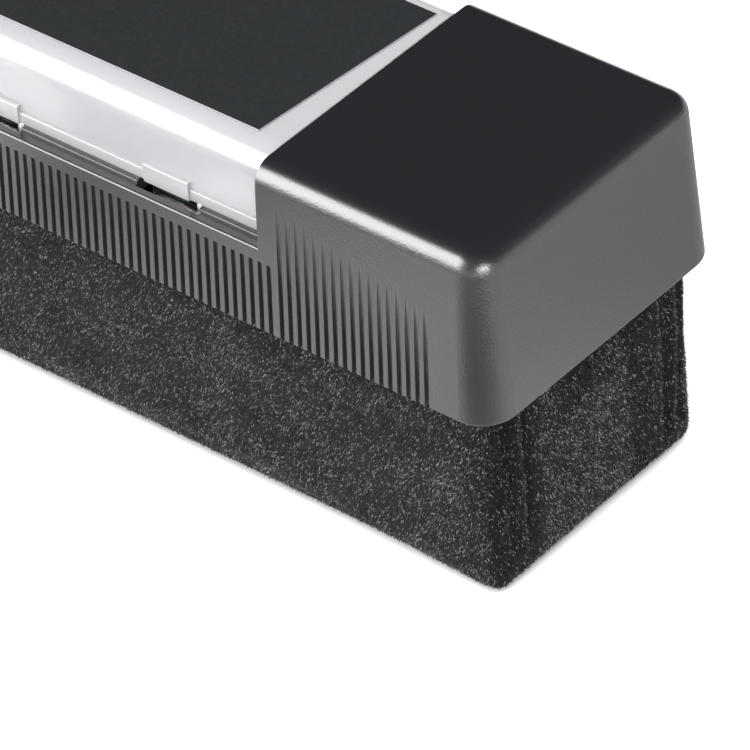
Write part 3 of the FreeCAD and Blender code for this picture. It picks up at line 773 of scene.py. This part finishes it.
class StageSettings(bpy.types.PropertyGroup):
    """Camera, lights and floor."""

    azimuth: bpy.props.FloatProperty(
        name="Azimuth", description="Camera round the eraser, from the near side to its end",
        default=math.radians(42.41), subtype="ANGLE")
    elevation: bpy.props.FloatProperty(
        name="Elevation", description="Camera above the horizon",
        default=math.radians(38.34), subtype="ANGLE")
    roll: bpy.props.FloatProperty(
        name="Roll", description="Camera turned about its own line of sight",
        default=math.radians(-4.62), subtype="ANGLE")
    distance: bpy.props.FloatProperty(
        name="Distance", description="Camera to the point it aims at",
        default=0.8438, unit="LENGTH")
    focal_length: bpy.props.FloatProperty(
        name="Focal length", description="Focal length in millimetres on a 36 mm sensor",
        default=318.3)
    aim: bpy.props.FloatVectorProperty(
        name="Aim", description="Point that the camera and the lights aim at",
        default=(0.0512, -0.0240, 0.0325), subtype="TRANSLATION")
    floor_colour: bpy.props.StringProperty(
        name="Floor", description="Colour of the floor", default="f4f4f4")
    ambient: bpy.props.FloatProperty(
        name="Ambient", description="Brightness of the room", default=1.35)


def toward(azimuth, elevation):
    """The direction at an azimuth from the near side toward the end, and an elevation, in degrees."""
    turn = math.radians(azimuth)
    rise = math.radians(elevation)
    return Vector((math.sin(turn) * math.cos(rise), -math.cos(turn) * math.cos(rise), math.sin(rise)))


def softbox(aim, name, azimuth, elevation, distance, size, radiance, shape="RECTANGLE"):
    """An area light that looks at the aim, with its brightness as radiance."""
    direction = toward(azimuth, elevation)
    bpy.ops.object.select_all(action="DESELECT")
    bpy.ops.object.light_add(type="AREA", location=aim + direction * distance,
                             rotation=direction.to_track_quat("Z", "Y").to_euler())
    lamp = bpy.context.object
    lamp.name = name
    lamp.data.shape = shape
    lamp.data.size = size[0]
    lamp.data.size_y = size[1]
    lamp.data.energy = radiance * math.pi * size[0] * size[1]
    if shape == "DISK":
        lamp.data.energy *= math.pi / 4
    return lamp


def reflection_card(aim, name, azimuth, elevation, distance, size, material):
    """A card that only shows as a reflection, to shape the gloss of the handle."""
    direction = toward(azimuth, elevation)
    bpy.ops.object.select_all(action="DESELECT")
    bpy.ops.mesh.primitive_plane_add(size=1, location=aim + direction * distance,
                                     rotation=direction.to_track_quat("Z", "Y").to_euler())
    card = bpy.context.object
    card.name = name
    card.scale = (size[0], size[1], 1)
    bpy.ops.object.transform_apply(location=True, rotation=True, scale=True)
    for kind in ("camera", "diffuse", "transmission", "shadow", "volume_scatter"):
        setattr(card, "visible_" + kind, False)
    paint(card, material)


def place_camera(scene, settings):
    """The camera, at its distance and direction from the aim, turned by its roll."""
    aim = Vector(settings.aim)
    back = toward(math.degrees(settings.azimuth), math.degrees(settings.elevation))
    side = Vector((math.cos(settings.azimuth), math.sin(settings.azimuth), 0))
    up = back.cross(side)
    turn = settings.roll
    right = side * math.cos(turn) + up * math.sin(turn)
    above = up * math.cos(turn) - side * math.sin(turn)
    place = Matrix((right, above, back)).transposed().to_4x4()
    place.translation = aim + back * settings.distance
    data = bpy.data.cameras.new("camera")
    data.lens = settings.focal_length
    data.sensor_width = 36
    data.clip_start = 0.01
    camera = bpy.data.objects.new("camera", data)
    scene.collection.objects.link(camera)
    camera.matrix_world = place
    scene.camera = camera


def lay_floor(settings):
    """A white paper floor."""
    bpy.ops.object.select_all(action="DESELECT")
    bpy.ops.mesh.primitive_plane_add(size=4)
    floor = bpy.context.object
    floor.name = "floor"
    material, tree = new_material("floor_paper")
    paint(floor, finish_material(
        material, tree, {"Base Color": linear(settings.floor_colour), "Specular IOR Level": 0.0},
        Roughness=ramp(tree, grain(tree, 30.0), 0.3, 0.7, 0.8, 0.9)))


def hang_lights(aim):
    """A broad light for the colours, and a strip and a spot that only show in the gloss."""
    overhead = softbox(aim, "overhead_softbox", azimuth=12, elevation=60, distance=1.0,
                       size=(1.2, 1.2), radiance=4.6)
    overhead.visible_glossy = False
    strip = softbox(aim, "strip_softbox", azimuth=-42, elevation=22.5, distance=0.7,
                    size=(0.62, 0.64), radiance=19.0)
    strip.visible_diffuse = False
    spot = softbox(aim, "corner_spot", azimuth=73, elevation=12, distance=0.6,
                   size=(0.34, 0.34), radiance=28.0, shape="DISK")
    spot.visible_diffuse = False


def matt_card(name, colour):
    """Card or felt with no gloss of its own."""
    material, tree = new_material(name)
    return finish_material(
        material, tree, {"Base Color": linear(colour), "Roughness": 1.0, "Specular IOR Level": 0.0})


def hang_cards():
    """Black felt that darkens the near corner and the foot of the upper edge, and a grey card
    that tones down the floor's reflection in the end."""
    felt = matt_card("felt_black", "000000")
    low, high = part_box("handle_shell")
    middle = (low + high) / 2
    corner = Vector((high.x, low.y, middle.z))
    reflection_card(corner, "corner_flag", azimuth=33, elevation=-38, distance=0.036,
                    size=(0.086, 0.036), material=felt)
    brow = Vector((high.x - 20 * MM, low.y, high.z))
    reflection_card(brow, "fillet_flag", azimuth=-40, elevation=-18, distance=0.065,
                    size=(0.090, 0.036), material=felt)
    end = Vector((high.x, middle.y, middle.z))
    reflection_card(end, "end_card", azimuth=137.6, elevation=-30, distance=0.055,
                    size=(0.200, 0.050), material=matt_card("card_grey", "c0c0c0"))


def light_room(scene, settings):
    """An even white room that lights matt faces and stays out of the gloss."""
    world = bpy.data.worlds.new("studio")
    world.use_nodes = True
    room = world.node_tree.nodes["Background"].inputs
    room["Color"].default_value = (1, 1, 1, 1)
    room["Strength"].default_value = settings.ambient
    world.cycles_visibility.glossy = False
    scene.world = world
    scene.view_settings.view_transform = "Standard"


class ERASER_OT_stage(bpy.types.Operator):
    """Adds the floor, the lights and the camera"""

    bl_idname = "eraser.stage"
    bl_label = "Stage"

    def execute(self, context):
        settings = context.scene.eraser_stage
        place_camera(context.scene, settings)
        lay_floor(settings)
        hang_lights(Vector(settings.aim))
        hang_cards()
        light_room(context.scene, settings)
        return {"FINISHED"}


# ---------------------------------------------------------------- panel and run

GROUPS = {"eraser_handle": HandleSettings, "eraser_cover": CoverSettings,
          "eraser_pad": PadSettings, "eraser_stage": StageSettings}
OPERATORS = (ERASER_OT_stage, ERASER_OT_handle, ERASER_OT_cover, ERASER_OT_label, ERASER_OT_tray,
             ERASER_OT_inner_parts, ERASER_OT_foam, ERASER_OT_velvet_pad, ERASER_OT_pile)


class ERASER_PT_panel(bpy.types.Panel):
    """Lists the pieces of the eraser"""

    bl_idname = "ERASER_PT_panel"
    bl_label = "Board Eraser"
    bl_space_type = "VIEW_3D"
    bl_region_type = "UI"
    bl_category = "Eraser"

    def draw(self, context):
        for operator in OPERATORS:
            self.layout.operator(operator.bl_idname)
        for name, group in GROUPS.items():
            box = self.layout.box()
            for field in group.__annotations__:
                box.prop(getattr(context.scene, name), field)


CLASSES = (*GROUPS.values(), *OPERATORS, ERASER_PT_panel)


def register():
    for cls in CLASSES:
        bpy.utils.register_class(cls)
    for name, group in GROUPS.items():
        setattr(bpy.types.Scene, name, bpy.props.PointerProperty(type=group))


def unregister():
    for name in GROUPS:
        delattr(bpy.types.Scene, name)
    for cls in reversed(CLASSES):
        bpy.utils.unregister_class(cls)


def main():
    register()
    bpy.ops.eraser.stage()
    bpy.ops.eraser.handle()
    bpy.ops.eraser.cover()
    bpy.ops.eraser.label()
    bpy.ops.eraser.tray()
    bpy.ops.eraser.inner_parts()
    bpy.ops.eraser.foam()
    bpy.ops.eraser.velvet_pad()
    bpy.ops.eraser.pile()


if __name__ == "__main__":
    main()
